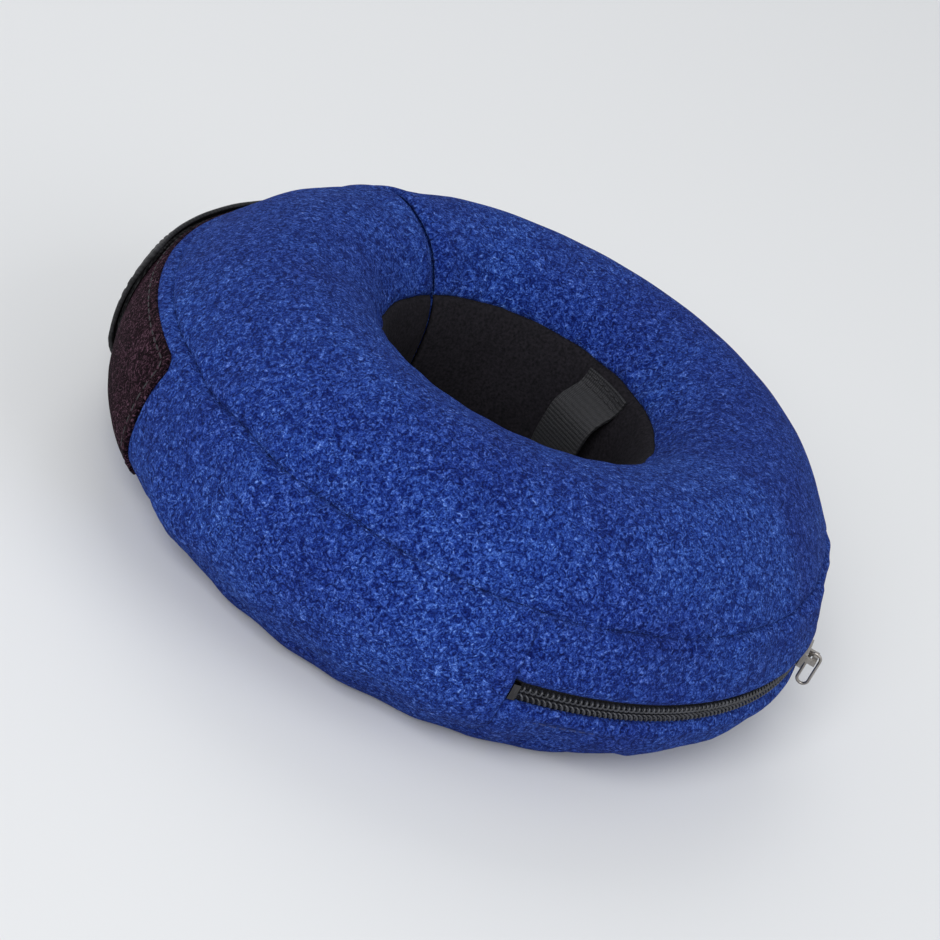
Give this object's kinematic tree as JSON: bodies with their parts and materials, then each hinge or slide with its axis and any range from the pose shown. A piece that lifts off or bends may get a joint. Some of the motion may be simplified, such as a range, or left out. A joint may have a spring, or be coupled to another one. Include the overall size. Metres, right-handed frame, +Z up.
{
  "type": "inflatable recovery collar",
  "caption": "Ring-shaped inflatable recovery collar for a small pet: air bladder in a boxed plush cover with a zip, a hook-and-loop closure and a neck opening.",
  "frame": {"origin": "centre of the neck opening at the plane the collar rests on", "axes": "+Z up the neck axis towards the pet's head; the closure gap is at +Y and the zip is around -Y"},
  "size_m": [0.1758, 0.178, 0.063],
  "materials": {
    "plush": "short-pile plush",
    "lining": "woven lining",
    "bladder_vinyl": "smooth vinyl film",
    "zip_tape": "woven tape",
    "zip_coil": "nylon coil",
    "zip_metal": "dull nickel",
    "hook_and_loop": "hook-and-loop",
    "webbing": "nylon webbing",
    "eyelet": "satin",
    "valve_plastic": "clear-white vinyl"
  },
  "bodies": {
    "front": {"top_panel_front": "plush", "bottom_panel_front": "plush", "neck_lining_front": "lining", "band_zip_upper": "plush", "band_zip_lower": "plush", "band_front_left": "plush", "band_front_right": "plush", "bladder_front": "bladder_vinyl", "zip_tape_upper": "zip_tape", "zip_tape_lower": "zip_tape", "zip_teeth_upper": "zip_coil", "zip_teeth_lower": "zip_coil", "zip_stop_left": "zip_metal", "zip_stop_right": "zip_metal", "collar_loop_front": "webbing"},
    "arm_left": {"top_panel_left": "plush", "bottom_panel_left": "plush", "neck_lining_left": "lining", "band_left": "plush", "end_panel_left": "plush", "bladder_left": "bladder_vinyl", "closure_loop_patch": "hook_and_loop", "collar_loop_left": "webbing"},
    "arm_right": {"top_panel_right": "plush", "bottom_panel_right": "plush", "neck_lining_right": "lining", "band_right": "plush", "end_panel_right": "plush", "bladder_right": "bladder_vinyl", "closure_tab_base": "webbing", "collar_loop_right": "webbing", "valve_eyelet": "eyelet", "valve_body": "valve_plastic"},
    "closure_tab": {"closure_tab": "webbing", "closure_hook_pad": "hook_and_loop"},
    "zip_slider": {"zip_slider": "zip_metal"},
    "zip_pull": {"zip_pull": "zip_metal"},
    "valve_stem": {"valve_stem": "valve_plastic", "valve_tether_ring": "valve_plastic"},
    "valve_plug": {"valve_plug": "valve_plastic"},
    "valve_flap": {"valve_flap": "valve_plastic"}
  },
  "joints": [
    {"name": "arm_left_open", "type": "hinge", "parent": "front", "child": "arm_left", "pos_m": [-0.06818, -0.05721, 0], "axis": [0, 0, 1], "range_deg": [0, 25], "stiffness_Nm_per_rad": 0.3},
    {"name": "arm_right_open", "type": "hinge", "parent": "front", "child": "arm_right", "pos_m": [0.06818, -0.05721, 0], "axis": [0, 0, -1], "range_deg": [0, 25]},
    {"name": "closure_tab_peel", "type": "hinge", "parent": "arm_right", "child": "closure_tab", "pos_m": [0.00624, 0.08918, 0], "axis": [0, 0, -1], "range_deg": [0, 100]},
    {"name": "zip_slide", "type": "hinge", "parent": "front", "child": "zip_slider", "pos_m": [0, 0, 0.026], "axis": [0, 0, -1], "range_deg": [0, 61.5]},
    {"name": "zip_pull_swing", "type": "hinge", "parent": "zip_slider", "child": "zip_pull", "pos_m": [0.04868, -0.07682, 0.026], "axis": [-0.8447, -0.5353, 0], "range_deg": [0, 170]},
    {"name": "valve_stem_slide", "type": "slide", "parent": "arm_right", "child": "valve_stem", "axis": [0.9397, 0.342, 0], "range_m": [0, 0.008]},
    {"name": "valve_plug_flip", "type": "hinge", "parent": "valve_stem", "child": "valve_plug", "pos_m": [0.08429, 0.03068, 0.0198], "axis": [-0.342, 0.9397, 0], "range_deg": [0, 120]},
    {"name": "valve_flap_open", "type": "hinge", "parent": "valve_stem", "child": "valve_flap", "pos_m": [0.06381, 0.02322, 0.0296], "axis": [-0.342, 0.9397, 0], "range_deg": [0, 60]}
  ],
  "couplings": [
    {"joint": "arm_right_open", "follows": "arm_left_open", "ratio": 1},
    {"joint": "closure_tab_peel", "follows": "arm_left_open", "ratio": 4}
  ]
}
